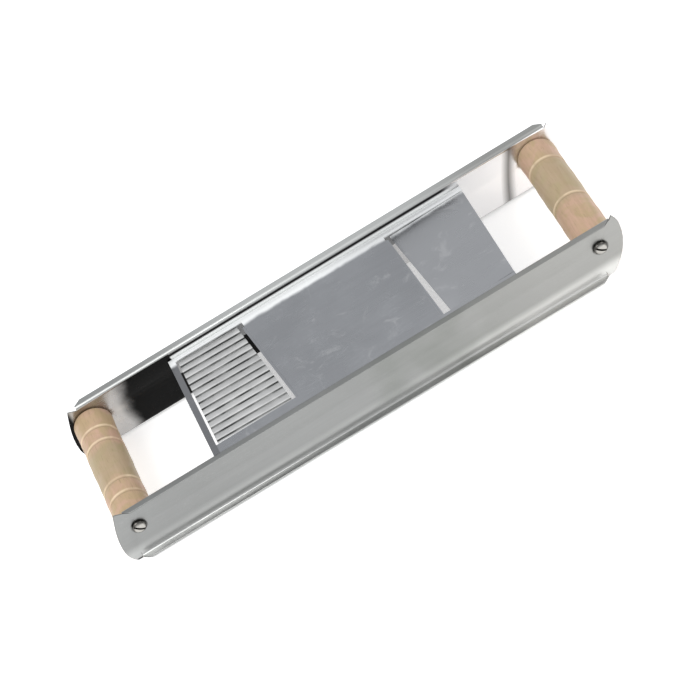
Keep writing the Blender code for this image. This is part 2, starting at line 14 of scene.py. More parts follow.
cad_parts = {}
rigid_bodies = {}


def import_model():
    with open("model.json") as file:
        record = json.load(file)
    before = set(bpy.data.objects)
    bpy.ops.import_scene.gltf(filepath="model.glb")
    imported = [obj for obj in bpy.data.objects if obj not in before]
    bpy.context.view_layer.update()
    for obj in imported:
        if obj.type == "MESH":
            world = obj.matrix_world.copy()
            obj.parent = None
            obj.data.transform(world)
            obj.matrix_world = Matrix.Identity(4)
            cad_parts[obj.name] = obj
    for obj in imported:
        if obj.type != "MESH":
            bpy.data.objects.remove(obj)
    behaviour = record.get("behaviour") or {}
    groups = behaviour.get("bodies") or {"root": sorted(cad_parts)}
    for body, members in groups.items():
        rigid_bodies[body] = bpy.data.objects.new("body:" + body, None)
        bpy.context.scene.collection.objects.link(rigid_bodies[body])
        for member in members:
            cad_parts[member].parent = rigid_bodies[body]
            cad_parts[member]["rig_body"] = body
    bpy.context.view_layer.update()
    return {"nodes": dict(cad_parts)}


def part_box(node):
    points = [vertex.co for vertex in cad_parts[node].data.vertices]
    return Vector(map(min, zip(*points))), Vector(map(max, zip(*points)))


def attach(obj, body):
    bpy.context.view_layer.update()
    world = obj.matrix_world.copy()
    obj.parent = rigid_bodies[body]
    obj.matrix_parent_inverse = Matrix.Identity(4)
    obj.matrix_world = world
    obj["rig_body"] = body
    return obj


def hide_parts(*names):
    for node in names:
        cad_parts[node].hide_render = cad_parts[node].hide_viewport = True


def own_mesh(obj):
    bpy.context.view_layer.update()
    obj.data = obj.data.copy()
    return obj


bl_info = {
    "name": "Vegetable Slicer",
    "version": (1, 0, 0),
    "blender": (4, 5, 0),
    "location": "3D View > Sidebar > Slicer",
    "description": "Builds the visible pieces, finishes and studio of a two-handled vegetable slicer",
    "category": "Object",
}

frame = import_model()

MERGE = 0.000005
FLAT = math.radians(1.0)
WORDS = ("plain", "ribbed")
LEFT_GROOVES = (0.034, 0.020, -0.021, -0.035)
RIGHT_GROOVES = (0.032, -0.011)

# Shapes of the finer pieces, in metres unless a name says otherwise.
HANDLE_BORE = 0.0023
HANDLE_BORE_LENGTH = 0.024
HANDLE_STEPS = 240
END_CROWDING = 0.15
SLOW_WAVE, SLOW_RATE = 0.00012, 150.0
FAST_WAVE, FAST_RATE = 0.00008, 410.0
WAVE_LIMIT = 0.0002
SCREW_HEAD = 0.0030
SCREW_SHANK = 0.0020
SCREW_POINT = 0.004
SCREW_FLAT = 0.16
SCREW_EDGE = 0.00012
SLOT_DEPTH = 0.0014
SLOT_HALF_LENGTH = 0.008
SLOT_CLEARANCE = 0.002
SLOT_TURNS = {"near": math.radians(-40.0), "far": math.radians(25.0)}
ROD_EDGE = 0.0004
STUD_HEAD = 0.0008
STUD_EDGE = 0.0002
STUD_SHANK = 0.0020
THREAD_DEPTH = 0.00028
STUD_POINT = 0.0006
STUD_POINT_LENGTH = 0.0007
SPRING_WIRE = 0.00045
CLOSED_TURN = 2.3 * SPRING_WIRE
STEPS_PER_TURN = 24
NUT_BORE = 0.0028
NUT_HUB = 0.0048
NUT_TOP = 0.0031
NUT_EDGE = 0.0004
NUT_BORE_EDGE = 0.0003
WING_ROOT = 0.0036
WING_REACH = 0.0135
WING_RADIUS = 0.0036
WING_DROP = 0.0006
WING_HALF_THICKNESS = 0.0010
WING_EDGE = 0.0005
WING_STEPS = 12
NUT_TURN = math.radians(35)

# Where the painted marks lie, in metres. A pair is where a mark starts and where it is full.
RAIL_START_Y = 0.0545
INNER_SKIN_Y = 0.0548
INNER_FACE_Y = 0.0553
SCREWS_START_Y = 0.050
# Where the painted shade ring round each screw's head lies.
SCREW_SHADE_RING = (0.0052, 0.0062)
SCREW_RIM = (0.0031, 0.0043)
PATCH_START = (-0.1560, -0.1430)
PATCH_END = (0.085, 0.105)
PAST_HANDLE = (-0.1850, -0.1815)
BY_LEFT_HANDLE = (-0.1760, -0.1640)
DECK_START = (-0.1062, -0.1052)
DECK_END = (0.105, 0.119)
DECK_UNDERSIDE = (0.0362, 0.0368)
PLAIN_SLOT = (0.042, 0.052)
SLOT_LIGHT = (0.0225, 0.0245)
FOLD_LINE_Z = 0.0414
FOLD_LINE_WIDTH = 0.0016
STRIPE_X = 0.1425
STRIPE_WIDTH = 0.0062
STRIPE_LEAN = 0.30
STRIPE_BEND = 2.4
BAND_TOP = (0.0392, 0.0402)
FOLD_BRIGHTENS = (-0.15, -0.04)
FOLD_FADES = (0.07, 0.15)
LOW_FOLD = (0.0050, 0.0140)
LOW_FOLD_BRIGHTENS = (0.0, 0.13)
FOOT_EDGE = (0.0010, 0.0016)
FOOT_FADES = (-0.10, -0.04)
CLOUD_START = (-0.02, 0.02)
CLOUD_END = (0.06, 0.12)
RAMP_START = (0.062, 0.066)
LEDGE = (0.0440, 0.0480)
LEDGE_FADES = (-0.01, 0.06)
BAR_END_X = -0.1039
DECK_FOLD = (0.0345, 0.0372)
FIRST_GROOVE_Y = 0.0430
RIB_PITCH = 0.0068
GROOVE_SHARE = 0.16
RIB_FACE = (0.0340, 0.0355)
ZONE_EDGE = 0.006
GRAIN_HEIGHT = 0.00004
PORE_HEIGHT = 0.00012
STREAK_STRETCH = (300.0, 22.0, 300.0)
PORE_STRETCH = (1900.0, 110.0, 1900.0)

# Colours of the painted marks.
# Painted light: the rails grow lighter and warmer towards the right.
WARM_LIGHT = (0.45, 0.435, 0.40)
# Pale painted reflection on the rails' inner faces.
INNER_FACE_REFLECTION = (0.86, 0.85, 0.85)
# Near-black painted reflection and shade on the far rail's inner face.
DARK_REFLECTION_AND_SHADE = (0.004, 0.004, 0.004)
# Brownish painted shade by the left handle.
HANDLE_SHADE_BROWN = (0.30, 0.27, 0.23)
# Painted reflection of the right handle: a curved grey stripe on the far inner face.
STRIPE_REFLECTION = (0.10, 0.095, 0.09)
# Pale matt painted light on the far inner face just above the deck.
PALE_BAND_LIGHT = (0.90, 0.91, 0.90)
# Painted light on the upward faces of the far rail's upper fold.
FAR_FOLD_LIGHT = (0.60, 0.61, 0.60)
# Painted reflection on the near rail's lower fold, darker at the left and brighter at the right.
LOW_FOLD_REFLECTION_LEFT = (0.46, 0.465, 0.455)
LOW_FOLD_REFLECTION_RIGHT = (0.76, 0.755, 0.73)
# Painted shadow along the near rail's bottom edge.
FOOT_SHADOW = (0.02, 0.02, 0.02)
CLOUD_GREEN = (0.15, 0.165, 0.14)
# Painted shade round the screws' heads.
SCREW_SHADE = (0.05, 0.047, 0.043)
DULL_SCREW = (0.30, 0.29, 0.27)
# Painted shade for the screws' slots.
SLOT_SHADE = (0.06, 0.055, 0.05)
# Dark colour for faces turned along the slicer.
END_FACING_DARK = (0.05, 0.05, 0.05)
RAMP_TONE = (0.43, 0.435, 0.45)
SCUFF = (0.60, 0.60, 0.61)
# Painted highlight along the deck's far edge.
LEDGE_HIGHLIGHT = (0.86, 0.87, 0.87)
# Painted shade on the deck's end bar.
BAR_SHADE = (0.12, 0.12, 0.125)
# Painted shade under the deck's fold.
UNDERSIDE_SHADE = (0.09, 0.09, 0.095)
# Painted shade in the ribbed ramp's grooves.
GROOVE_SHADE = (0.035, 0.038, 0.038)


# ---------------------------------------------------------------- sizes, colours and studio

def length_setting(name, description, value, precision=4):
    """Return a length setting."""
    return FloatProperty(name=name, description=description, default=value, unit="LENGTH",
                         precision=precision)


def colour_setting(name, description, value):
    """Return a colour setting."""
    return FloatVectorProperty(name=name, description=description, subtype="COLOR", size=3,
                               default=value)


def angle_setting(name, description, degrees):
    """Return an angle setting, given in degrees."""
    return FloatProperty(name=name, description=description, subtype="ANGLE",
                         default=math.radians(degrees))


def power_setting(name, description, watts):
    """Return a light's power setting."""
    return FloatProperty(name=name, description=description, unit="POWER", default=watts)


class SlicerSizes(bpy.types.PropertyGroup):
    """Sizes of the small forms that a user may change."""
    edge_radius: length_setting("Sheet edge radius", "Rounding along each sheet's cut edges", 0.00022, 5)
    handle_edge: length_setting("Handle end rounding", "Rounding at a handle's ends", 0.0018)
    groove_depth: length_setting("Ring depth", "Depth of the turned rings in the handles", 0.0011)
    groove_width: length_setting("Ring width", "Half width of the turned rings", 0.0011)
    slot_width: length_setting("Screw slot width", "Width of the slot in a screw's head", 0.0015)
    thread_pitch: length_setting("Thread pitch", "Distance between the studs' threads", 0.0007, 5)
    spring_turns: IntProperty(name="Spring turns", description="Open turns of each spring", default=4,
                              min=2)


class SlicerColours(bpy.types.PropertyGroup):
    """Colours of the finishes."""
    rail: colour_setting("Rail steel", "Base colour of the side rails", (0.275, 0.278, 0.273))
    deck: colour_setting("Deck steel", "Base colour of the deck and the plain ramp", (0.35, 0.358, 0.376))
    ribs: colour_setting("Rib steel", "Base colour of the ribbed ramp", (0.61, 0.61, 0.605))
    fittings: colour_setting("Fittings", "Colour of screws, nuts, rods and springs", (0.60, 0.58, 0.54))
    wood: colour_setting("Wood", "Main colour of the handles", (0.455, 0.325, 0.185))
    wood_pink: colour_setting("Wood, pink", "Warmer patches of the handles", (0.52, 0.335, 0.235))
    wood_olive: colour_setting("Wood, olive", "Greener zone of each handle", (0.33, 0.285, 0.165))
    # The pale rims are a painted highlight on one side of each ring.
    wood_rim_highlight: colour_setting("Wood, worn", "Pale worn rims of the rings", (0.78, 0.62, 0.42))


class SlicerStudio(bpy.types.PropertyGroup):
    """Camera and lights."""
    azimuth: angle_setting("Azimuth", "Camera's turn about the slicer", -2.13)
    elevation: angle_setting("Elevation", "Camera's angle above the floor", 41.65)
    roll: angle_setting("Roll", "Camera's turn about its own axis", -32.58)
    distance: length_setting("Distance", "Camera's distance", 2.13988, 2)
    focal_length: FloatProperty(name="Focal length", description="Camera's lens in millimetres",
                                default=171.31)
    aim_right: length_setting("Aim, right", "Camera's step to its right", -0.00907, 5)
    aim_up: length_setting("Aim, up", "Camera's step upwards", 0.01112, 5)
    aim_height: length_setting("Aim height", "Height that the camera is aimed at", 0.0045)
    sky: FloatProperty(name="Sky light", description="Strength of the even light from all round",
                       default=0.80)
    key: power_setting("Key light", "Power of the main soft light", 20.0)
    fill: power_setting("Fill light", "Power of the soft light on the right", 9.0)
    floor_glow: FloatProperty(
        name="Floor glow", description="Light that the floor gives off, as a light table does",
        default=0.45)


# ---------------------------------------------------------------- shared shader effects

def new_group(name, inputs, outputs):
    """Start a shader node group with vector and number inputs, and return it with its two end nodes."""
    group = bpy.data.node_groups.new(name, "ShaderNodeTree")
    for word, value in inputs.items():
        kind = "NodeSocketFloat" if isinstance(value, float) else "NodeSocketVector"
        group.interface.new_socket(name=word, in_out="INPUT", socket_type=kind).default_value = value
    for word in outputs:
        group.interface.new_socket(name=word, in_out="OUTPUT", socket_type="NodeSocketFloat")
    return group, group.nodes.new("NodeGroupInput"), group.nodes.new("NodeGroupOutput")


def add(tree, kind, values=None, **settings):
    """Add a node with its settings and its input values. A value that is a socket is linked."""
    node = tree.nodes.new(kind)
    for word, value in settings.items():
        setattr(node, word, value)
    for key, value in (values or {}).items():
        if isinstance(value, bpy.types.NodeSocket):
            tree.links.new(value, node.inputs[key])
        else:
            node.inputs[key].default_value = value
    return node


def math_node(tree, operation, first, second=0.0, clamp=False):
    """Add a Math node and return its output."""
    node = add(tree, "ShaderNodeMath", {0: first, 1: second}, operation=operation, use_clamp=clamp)
    return node.outputs[0]


def times(tree, first, second, clamp=False):
    """Multiply two values."""
    return math_node(tree, "MULTIPLY", first, second, clamp)


def plus(tree, first, second, clamp=False):
    """Add two values."""
    return math_node(tree, "ADD", first, second, clamp)


def minus(tree, first, second, clamp=False):
    """Take the second value from the first."""
    return math_node(tree, "SUBTRACT", first, second, clamp)


def inverse(tree, mask, clamp=False):
    """Return what is left of 1."""
    return minus(tree, 1.0, mask, clamp)


def ramp_node(tree, value, stops):
    """Add a grey colour ramp through (position, grey) stops and return its output."""
    node = add(tree, "ShaderNodeValToRGB", {"Fac": value})
    elements = node.color_ramp.elements
    while len(elements) < len(stops):
        elements.new(0.5)
    for element, (position, grey) in zip(elements, stops):
        element.position = position
        element.color = (grey, grey, grey, 1.0)
    return node.outputs["Color"]


def noise_node(tree, vector, scale, detail=3.0, rough=0.5, warp=0.0):
    """Add a noise texture and return its value."""
    values = {"Vector": vector, "Scale": scale, "Detail": detail, "Roughness": rough, "Distortion": warp}
    return add(tree, "ShaderNodeTexNoise", values).outputs["Fac"]


def mapped(tree, vector, **settings):
    """Return a place moved by Location and stretched by Scale."""
    return add(tree, "ShaderNodeMapping", {"Vector": vector, **settings}).outputs[0]


def grain_group():
    """Fine parallel brush marks. Stretch sets how close together they lie along each axis."""
    group, start, end = new_group("brushed_grain", {"Vector": (0, 0, 0), "Stretch": (40, 900, 900)},
                                  ("Height", "Shade"))
    lines = add(group, "ShaderNodeVectorMath", {0: start.outputs["Vector"], 1: start.outputs["Stretch"]},
                operation="MULTIPLY").outputs[0]
    fine = noise_node(group, lines, 1.0, 4.0, 0.65)
    broad = noise_node(group, lines, 0.22, 2.0, 0.5)
    both = plus(group, times(group, fine, 0.65), times(group, broad, 0.35))
    group.links.new(both, end.inputs["Height"])
    group.links.new(ramp_node(group, both, [(0.36, 0.0), (0.64, 1.0)]), end.inputs["Shade"])
    return group


def scratch_group():
    """Sparse thin scratches that cross each other at a slight angle."""
    group, start, end = new_group("fine_scratches", {"Vector": (0, 0, 0), "Amount": 0.5}, ("Mask",))
    masks = []
    for turn, seed in ((0.16, 0.0), (-0.35, 3.1), (1.25, 7.7)):
        along = add(group, "ShaderNodeVectorRotate",
                    {"Vector": start.outputs["Vector"], "Axis": (0.2, 0.1, 1.0), "Angle": turn},
                    rotation_type="AXIS_ANGLE").outputs[0]
        along = mapped(group, along, Location=(seed, seed, seed), Scale=(26, 620, 620))
        lines = noise_node(group, along, 1.0, 2.0, 0.6)
        where = noise_node(group, start.outputs["Vector"], 45.0 + seed, 2.0)
        line = ramp_node(group, lines, [(0.485, 0.0), (0.5, 1.0), (0.515, 0.0)])
        masks.append(times(group, line, ramp_node(group, where, [(0.5, 0.0), (0.62, 1.0)])))
    total = plus(group, plus(group, masks[0], masks[1]), masks[2], clamp=True)
    group.links.new(times(group, total, start.outputs["Amount"]), end.inputs["Mask"])
    return group


def smudge_group():
    """Soft wiped patches, as fingers and cloths leave on steel."""
    group, start, end = new_group("wiped_patches", {"Vector": (0, 0, 0), "Scale": 22.0},
                                  ("Mask", "Tone"))
    patch = noise_node(group, start.outputs["Vector"], start.outputs["Scale"], 4.0, 0.55, 0.6)
    half = times(group, start.outputs["Scale"], 0.35)
    tone = noise_node(group, start.outputs["Vector"], half, 2.0, 0.4, 0.3)
    group.links.new(ramp_node(group, patch, [(0.42, 0.0), (0.66, 1.0)]), end.inputs["Mask"])
    group.links.new(ramp_node(group, tone, [(0.35, 0.0), (0.65, 1.0)]), end.inputs["Tone"])
    return group


def ring_group():
    """A soft line at one place along an axis."""
    group, start, end = new_group("ring_line", {"Along": 0.0, "Centre": 0.0, "Width": 0.001}, ("Mask",))
    off = math_node(group, "ABSOLUTE", minus(group, start.outputs["Along"], start.outputs["Centre"]))
    share = math_node(group, "DIVIDE", off, start.outputs["Width"])
    group.links.new(inverse(group, share, clamp=True), end.inputs["Mask"])
    return group


def groove_group():
    """Lines that repeat at an even pitch across a surface."""
    group, start, end = new_group(
        "groove_lines",
        {"Across": 0.0, "First": 0.0, "Pitch": RIB_PITCH, "Half width": GROOVE_SHARE}, ("Mask",))
    away = minus(group, start.outputs["First"], start.outputs["Across"])
    away = math_node(group, "DIVIDE", away, start.outputs["Pitch"])
    near = math_node(group, "ABSOLUTE", minus(group, away, math_node(group, "ROUND", away)))
    edge = inverse(group, math_node(group, "DIVIDE", near, start.outputs["Half width"]), clamp=True)
    group.links.new(times(group, edge, 2.2, clamp=True), end.inputs["Mask"])
    return group


GROUP_MAKERS = {"brushed_grain": grain_group, "fine_scratches": scratch_group,
                "wiped_patches": smudge_group, "ring_line": ring_group, "groove_lines": groove_group}


def use_group(tree, name, values):
    """Place a shared effect in a material, and make the effect the first time that it is used."""
    effect = bpy.data.node_groups.get(name) or GROUP_MAKERS[name]()
    return add(tree, "ShaderNodeGroup", values, node_tree=effect)


def mix_colour(tree, share, first, second):
    """Mix two colours, each a socket or a plain colour, and return the result."""
    first, second = (colour if isinstance(colour, bpy.types.NodeSocket) else (*colour, 1.0)
                     for colour in (first, second))
    return add(tree, "ShaderNodeMix", {0: share, 6: first, 7: second}, data_type="RGBA").outputs[2]


def painted(tree, mask, share, toned, colour):
    """Lay a share of a colour over another where the mask is 1."""
    return mix_colour(tree, times(tree, mask, share), toned, colour)


def new_material(name):
    """Start a material, and return it with its tree, its shader and its Object coordinates."""
    material = bpy.data.materials.new(name)
    material.use_nodes = True
    tree = material.node_tree
    shader = tree.nodes["Principled BSDF"]
    place = tree.nodes.new("ShaderNodeTexCoord").outputs["Object"]
    return material, tree, shader, place


def chosen():
    """Return the colours that the panel holds."""
    return bpy.context.scene.slicer_colours


def dress(tree, shader, toned, rough, height, strength, distance):
    """Give a shader its colour, its roughness and its fine relief."""
    bump = add(tree, "ShaderNodeBump", {"Height": height, "Strength": strength, "Distance": distance})
    tree.links.new(toned, shader.inputs["Base Color"])
    tree.links.new(rough, shader.inputs["Roughness"])
    tree.links.new(bump.outputs["Normal"], shader.inputs["Normal"])


def scaled(colour, amount):
    """Return a colour made lighter or darker."""
    return tuple(min(1.0, part * amount) for part in colour)


def steel(name, colour, roughness, stretch, grain, scratches, patch_scale, extra=None):
    """Make a worn steel: brush marks, scratches and wiped patches over one base colour.

    extra is a function that may change the colour and roughness sockets for one finish.
    """
    material, tree, shader, place = new_material(name)
    marks = use_group(tree, "brushed_grain", {"Vector": place, "Stretch": stretch})
    lines = use_group(tree, "fine_scratches", {"Vector": place, "Amount": scratches})
    wiped = use_group(tree, "wiped_patches", {"Vector": place, "Scale": patch_scale})
    toned = mix_colour(tree, wiped.outputs["Tone"], scaled(colour, 0.93), scaled(colour, 1.07))
    toned = painted(tree, marks.outputs["Shade"], 0.30, toned, scaled(colour, 0.80))
    toned = painted(tree, wiped.outputs["Mask"], 0.30, toned, scaled(colour, 1.16))
    toned = mix_colour(tree, lines.outputs["Mask"], toned, scaled(colour, 1.35))
    rough = plus(tree, roughness - 0.05, times(tree, wiped.outputs["Mask"], 0.12))
    rough = plus(tree, rough, times(tree, lines.outputs["Mask"], 0.15))
    if extra:
        toned, rough = extra(tree, place, toned, rough)
    height = minus(tree, marks.outputs["Height"], lines.outputs["Mask"])
    dress(tree, shader, toned, rough, height, grain, GRAIN_HEIGHT)
    shader.inputs["Metallic"].default_value = 1.0
    return material


def split(tree, place):
    """Return the X, Y and Z of a place."""
    return add(tree, "ShaderNodeSeparateXYZ", {0: place}).outputs


def facing(tree):
    """Return the X, Y and Z of the way that a surface faces."""
    return split(tree, tree.nodes["Texture Coordinate"].outputs["Normal"])


def between(tree, value, low, high):
    """Return 0 below low and 1 above high, with a smooth step between them."""
    node = add(tree, "ShaderNodeMapRange", {"Value": value, "From Min": low, "From Max": high},
               interpolation_type="SMOOTHSTEP")
    return node.outputs["Result"]


def fade(tree, value, low, high):
    """Return 1 below low and 0 above high, with a smooth step between them."""
    return inverse(tree, between(tree, value, low, high))


def span(tree, value, start, end):
    """Return 1 between two steps, each given as a low and a high value, and 0 outside them."""
    return minus(tree, between(tree, value, *start), between(tree, value, *end), clamp=True)


def line_at(tree, along, centre, width):
    """Return a mask of a soft line at one place along an axis."""
    values = {"Along": along, "Centre": centre, "Width": width}
    return use_group(tree, "ring_line", values).outputs["Mask"]


def wobble(tree, place, scale, size):
    """Return a small uneven length, half of it below zero."""
    return times(tree, minus(tree, noise_node(tree, place, scale), 0.5), size)


def made_matt(tree, mask):
    """Make a metal matt and pale where the mask is 1."""
    shader = tree.nodes["Principled BSDF"]
    tree.links.new(inverse(tree, times(tree, mask, 0.85)), shader.inputs["Metallic"])


def off_screws(tree, place):
    """Return how far a place is from the axis of the nearest screw."""
    x, _, z = split(tree, place)
    middle = centre_of("screw_near_right")
    aside = minus(tree, math_node(tree, "ABSOLUTE", x), middle.x)
    above = minus(tree, z, middle.z)
    return math_node(tree, "SQRT", plus(tree, times(tree, aside, aside), times(tree, above, above)))


def screw_shade(tree, place):
    """Return a mask of the painted shade: a patchy dark ring round each screw's head, where it meets the
    rail.
    """
    patchy = ramp_node(tree, noise_node(tree, place, 220.0, 2.0), [(0.30, 0.55), (0.60, 1.0)])
    return times(tree, fade(tree, off_screws(tree, place), *SCREW_SHADE_RING), patchy)


def far_face_light_and_shade(tree, place, toned, inside):
    """Paint light and shade on the far rail's inner face: a dark painted reflection patch, a painted
    shade line, a curved painted reflection stripe, painted shade by and past the left handle, and a pale
    painted-light band by the deck.
    """
    x, _, z = split(tree, place)
    # Painted reflection: a dark patch with a slanted, wavy edge.
    lean = minus(tree, plus(tree, x, wobble(tree, place, 60.0, 0.012)), times(tree, z, 0.09))
    starts = between(tree, lean, *PATCH_START)
    above = times(tree, between(tree, x, *DECK_START), between(tree, z, *DECK_UNDERSIDE))
    below = times(tree, between(tree, x, *PLAIN_SLOT), fade(tree, z, *SLOT_LIGHT))
    # Painted shade on the face past the left handle.
    beyond = fade(tree, x, *PAST_HANDLE)
    patch = minus(tree, minus(tree, starts, above, clamp=True), below, clamp=True)
    patch = minus(tree, patch, between(tree, x, *PATCH_END), clamp=True)
    # Painted shade: a dark line under the fold, along the deck.
    line = times(tree, line_at(tree, z, FOLD_LINE_Z, FOLD_LINE_WIDTH), 1.6, clamp=True)
    line = times(tree, line, span(tree, x, DECK_START, DECK_END))
    # Painted reflection: a curved stripe, as the right handle shows in the polished face.
    bend = plus(tree, times(tree, z, STRIPE_LEAN), times(tree, times(tree, z, z), STRIPE_BEND))
    reflected_stripe = line_at(tree, minus(tree, x, bend), STRIPE_X, STRIPE_WIDTH)
    dark = plus(tree, plus(tree, patch, line, clamp=True), beyond, clamp=True)
    # Painted shade: the inner face by the left handle is made brownish.
    handle_shade = times(tree, fade(tree, x, *BY_LEFT_HANDLE), inside)
    toned = painted(tree, handle_shade, 0.75, toned, HANDLE_SHADE_BROWN)
    toned = painted(tree, times(tree, reflected_stripe, inside), 0.85, toned, STRIPE_REFLECTION)
    # Painted light: a pale matt band on the far inner face just above the deck.
    band = times(tree, times(tree, above, inside), fade(tree, z, *BAND_TOP))
    band = times(tree, band, fade(tree, x, *DECK_END))
    toned = mix_colour(tree, band, toned, PALE_BAND_LIGHT)
    made_matt(tree, band)
    # The patch, the line and the end past the handle are painted near-black as painted reflection and
    # shade.
    return painted(tree, times(tree, dark, inside), 0.985, toned, DARK_REFLECTION_AND_SHADE)


def flange_tones(tree, place, toned):
    """Paint light on the far rail's upper fold, a painted reflection on the near rail's lower fold and a
    painted shadow along its foot, and smudge the near rail.
    """
    x, y, z = split(tree, place)
    # Painted light: the far rail's upward-facing fold is brightened, most in the middle.
    upward = between(tree, facing(tree)[2], 0.2, 0.5)
    far_side = math_node(tree, "GREATER_THAN", y, RAIL_START_Y)
    middle = span(tree, x, FOLD_BRIGHTENS, FOLD_FADES)
    share = plus(tree, 0.25, times(tree, middle, 0.70))
    share = times(tree, times(tree, share, upward), far_side)
    toned = mix_colour(tree, share, toned, FAR_FOLD_LIGHT)
    # Painted reflection: the near rail's lower fold, darker at the left and brighter at the right.
    near_side = math_node(tree, "LESS_THAN", y, -RAIL_START_Y)
    low = times(tree, fade(tree, z, *LOW_FOLD), near_side)
    bright = mix_colour(tree, between(tree, x, *LOW_FOLD_BRIGHTENS), LOW_FOLD_REFLECTION_LEFT, LOW_FOLD_REFLECTION_RIGHT)
    toned = painted(tree, low, 0.80, toned, bright)
    # Painted shadow: a dark line along the near rail's bottom edge, fading out to the right.
    foot = times(tree, fade(tree, z, *FOOT_EDGE), near_side)
    foot = times(tree, foot, fade(tree, x, *FOOT_FADES))
    toned = painted(tree, foot, 0.9, toned, FOOT_SHADOW)
    cloud = between(tree, noise_node(tree, place, 26.0, 2.0, 0.5), 0.40, 0.68)
    where = span(tree, x, CLOUD_START, CLOUD_END)
    cloud = times(tree, times(tree, cloud, where), near_side)
    return painted(tree, cloud, 0.30, toned, CLOUD_GREEN)


def rail_steel():
    """Satin sheet of the side rails: painted light makes it lighter and warmer to the right, and painted
    light and shade tone it by place.
    """
    def extra(tree, place, toned, rough):
        x, y, _ = split(tree, place)
        # Painted light: the rails are made lighter and warmer towards the right.
        toned = painted(tree, between(tree, x, -0.02, 0.17), 0.30, toned, WARM_LIGHT)
        under_far = math_node(tree, "LESS_THAN", y, INNER_FACE_Y)
        within = times(tree, math_node(tree, "GREATER_THAN", y, -INNER_FACE_Y), under_far)
        # Painted reflection: the inner faces between the rails are made pale, more so past the deck's
        # left end and towards the right.
        lit = plus(tree, 0.42, times(tree, between(tree, x, -0.107, -0.105), 0.36))
        lit = plus(tree, lit, times(tree, between(tree, x, 0.09, 0.12), 0.20))
        toned = mix_colour(tree, times(tree, within, lit), toned, INNER_FACE_REFLECTION)
        rough = minus(tree, rough, times(tree, within, 0.14))
        inside = times(tree, math_node(tree, "GREATER_THAN", y, INNER_SKIN_Y), under_far)
        toned = far_face_light_and_shade(tree, place, toned, inside)
        toned = flange_tones(tree, place, toned)
        # Painted shade: a dark ring round each screw's head.
        toned = painted(tree, screw_shade(tree, place), 0.85, toned, SCREW_SHADE)
        # Faces turned along the slicer, as at the rails' ends and rounded edges, are made dark.
        end_facing = between(tree, math_node(tree, "ABSOLUTE", facing(tree)[0]), 0.20, 0.45)
        return painted(tree, end_facing, 0.80, toned, END_FACING_DARK), rough
    return steel("rail_steel", chosen().rail, roughness=0.36, stretch=(30, 700, 700),
                 grain=0.35, scratches=0.35, patch_scale=14.0, extra=extra)


def deck_steel():
    """Darker wiped sheet of the deck and the plain ramp, with a painted highlight on the ledge, painted
    shade on the end bar and painted shade below the fold.
    """
    def extra(tree, place, toned, rough):
        x, y, z = split(tree, place)
        toned = painted(tree, between(tree, x, *RAMP_START), 0.6, toned, RAMP_TONE)
        scuffs = between(tree, noise_node(tree, place, 55.0, 4.0, 0.65, 0.8), 0.56, 0.70)
        toned = painted(tree, scuffs, 0.35, toned, SCUFF)
        # Painted highlight: a pale matt strip along the deck's far edge, weaker towards the right.
        ledge = between(tree, plus(tree, y, wobble(tree, place, 90.0, 0.004)), *LEDGE)
        fading = inverse(tree, times(tree, between(tree, x, *LEDGE_FADES), 0.25))
        pale = times(tree, ledge, fading)
        toned = mix_colour(tree, pale, toned, LEDGE_HIGHLIGHT)
        made_matt(tree, pale)
        # Painted shade: the deck's left end bar is made darker.
        bar = times(tree, math_node(tree, "LESS_THAN", x, BAR_END_X), inverse(tree, ledge))
        toned = painted(tree, bar, 0.55, toned, BAR_SHADE)
        # Painted shade: everything below the deck's fold is made darker.
        under = fade(tree, z, *DECK_FOLD)
        return painted(tree, under, 0.60, toned, UNDERSIDE_SHADE), rough
    return steel("deck_steel", chosen().deck, roughness=0.30, stretch=(26, 800, 800),
                 grain=0.30, scratches=0.55, patch_scale=24.0, extra=extra)


def ribbed_steel():
    """Bright ribs with painted shade in the grooves, weaker towards the near inner corner."""
    def extra(tree, place, toned, rough):
        x, y, z = split(tree, place)
        lines = use_group(tree, "groove_lines", {"Across": y, "First": FIRST_GROOVE_Y, "Pitch": RIB_PITCH,
                                                 "Half width": GROOVE_SHARE}).outputs["Mask"]
        # Painted shade in the grooves, broken up and weaker towards the near inner corner.
        patchy = ramp_node(tree, noise_node(tree, place, 75.0, 2.0), [(0.42, 1.0), (0.66, 0.25)])
        worn = times(tree, between(tree, y, -0.012, -0.040), between(tree, x, -0.085, -0.062))
        kept = inverse(tree, times(tree, worn, 0.75))
        level = between(tree, z, *RIB_FACE)
        groove_shade_mask = times(tree, times(tree, lines, patchy), times(tree, kept, level))
        toned = painted(tree, groove_shade_mask, 0.94, toned, GROOVE_SHADE)
        return toned, plus(tree, rough, times(tree, groove_shade_mask, 0.3))
    return steel("ribbed_steel", chosen().ribs, roughness=0.42, stretch=(60, 500, 500),
                 grain=0.40, scratches=0.45, patch_scale=60.0, extra=extra)


def blade_steel():
    """Ground strip with crosswise marks."""
    return steel("blade_steel", chosen().deck, roughness=0.22, stretch=(900, 60, 900),
                 grain=0.35, scratches=0.35, patch_scale=40.0)


def screw_steel():
    """Bright plated fittings, with painted shade round the rims of the screws' heads."""
    def extra(tree, place, toned, rough):
        y = split(tree, place)[1]
        # Painted shade on the rims of the screws' heads outside the rails.
        rim = between(tree, off_screws(tree, place), *SCREW_RIM)
        outside = math_node(tree, "GREATER_THAN", math_node(tree, "ABSOLUTE", y), SCREWS_START_Y)
        toned = painted(tree, outside, 0.6, toned, DULL_SCREW)
        return painted(tree, times(tree, rim, outside), 0.85, toned, SCREW_SHADE), rough
    return steel("screw_steel", chosen().fittings, roughness=0.24,
                 stretch=(500, 500, 500), grain=0.20, scratches=0.5, patch_scale=160.0, extra=extra)


